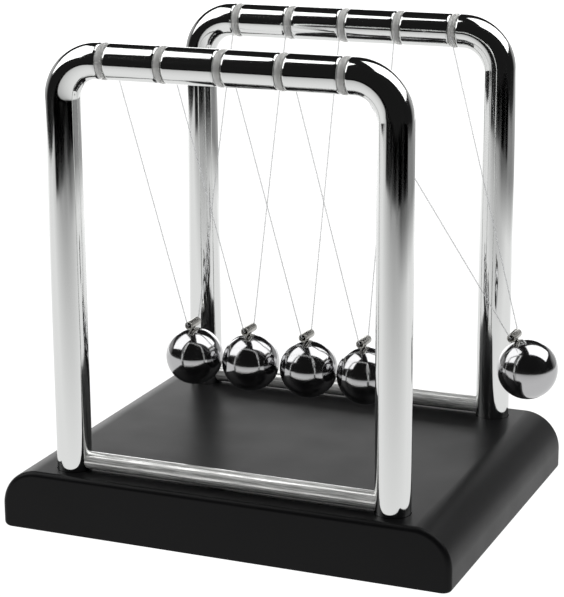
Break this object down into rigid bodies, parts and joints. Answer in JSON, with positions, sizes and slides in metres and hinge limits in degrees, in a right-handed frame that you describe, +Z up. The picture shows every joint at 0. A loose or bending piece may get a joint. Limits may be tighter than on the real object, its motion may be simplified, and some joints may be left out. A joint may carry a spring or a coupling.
{
  "type": "newton's cradle",
  "caption": "Momentum desk toy: polished balls hung in a row on clear lines between two bent chrome frames on a black base.",
  "frame": {"origin": "centre of the rubber pad's underside, midway between the legs, on the surface the object stands on", "axes": "+X along the row of balls to the right, +Y from the front frame to the rear frame, +Z up"},
  "size_m": [0.1876, 0.1358, 0.1779],
  "materials": {
    "base_plastic": "moulded black plastic with a satin gloss",
    "cover_plastic": "moulded black plastic, fine matt grain",
    "pad_rubber": "black foam rubber",
    "raw_steel": "bare steel plate, mill finish",
    "chrome_tube": "bright chrome plate on steel tube",
    "chrome_bar": "bright chrome plate on steel rod",
    "brass": "turned brass",
    "zinc_steel": "zinc-plated steel",
    "clear_ring": "clear flexible plastic, slightly milky",
    "clear_line": "clear nylon line",
    "polished_steel": "ground and mirror-polished steel",
    "nickel_sleeve": "nickel-plated, slightly dull"
  },
  "bodies": {
    "stand": {"base_shell": "base_plastic", "base_cover": "cover_plastic", "cover_screws": "zinc_steel", "base_pad": "pad_rubber", "ballast_plate": "raw_steel", "front_frame": "chrome_tube", "rear_frame": "chrome_tube", "front_cross_bar": "chrome_bar", "rear_cross_bar": "chrome_bar", "front_leg_inserts": "brass", "rear_leg_inserts": "brass", "leg_screws": "zinc_steel", "leg_washers": "zinc_steel", "front_ring_1": "clear_ring", "front_ring_2": "clear_ring", "front_ring_3": "clear_ring", "front_ring_4": "clear_ring", "front_ring_5": "clear_ring", "rear_ring_1": "clear_ring", "rear_ring_2": "clear_ring", "rear_ring_3": "clear_ring", "rear_ring_4": "clear_ring", "rear_ring_5": "clear_ring", "front_line_wraps": "clear_line", "rear_line_wraps": "clear_line"},
    "pendulum_1": {"ball_1": "polished_steel", "sleeve_1": "nickel_sleeve", "line_1": "clear_line"},
    "pendulum_2": {"ball_2": "polished_steel", "sleeve_2": "nickel_sleeve", "line_2": "clear_line"},
    "pendulum_3": {"ball_3": "polished_steel", "sleeve_3": "nickel_sleeve", "line_3": "clear_line"},
    "pendulum_4": {"ball_4": "polished_steel", "sleeve_4": "nickel_sleeve", "line_4": "clear_line"},
    "pendulum_5": {"ball_5": "polished_steel", "sleeve_5": "nickel_sleeve", "line_5": "clear_line"}
  },
  "joints": [
    {"name": "ball_1_swing", "type": "hinge", "parent": "stand", "child": "pendulum_1", "pos_m": [-0.044, 0, 0.17068], "axis": [0, -1, 0], "range_deg": [-47.2, 0.6]},
    {"name": "ball_2_swing", "type": "hinge", "parent": "stand", "child": "pendulum_2", "pos_m": [-0.022, 0, 0.17068], "axis": [0, -1, 0], "range_deg": [-0.6, 0.7]},
    {"name": "ball_3_swing", "type": "hinge", "parent": "stand", "child": "pendulum_3", "pos_m": [0, 0, 0.17068], "axis": [0, -1, 0], "range_deg": [-0.7, 0.3]},
    {"name": "ball_4_swing", "type": "hinge", "parent": "stand", "child": "pendulum_4", "pos_m": [0.022, 0, 0.17068], "axis": [0, -1, 0], "range_deg": [-0.3, 19.4]},
    {"name": "ball_5_swing", "type": "hinge", "parent": "stand", "child": "pendulum_5", "pos_m": [0.044, 0, 0.17068], "axis": [0, -1, 0], "range_deg": [-19.4, 21.8]}
  ]
}
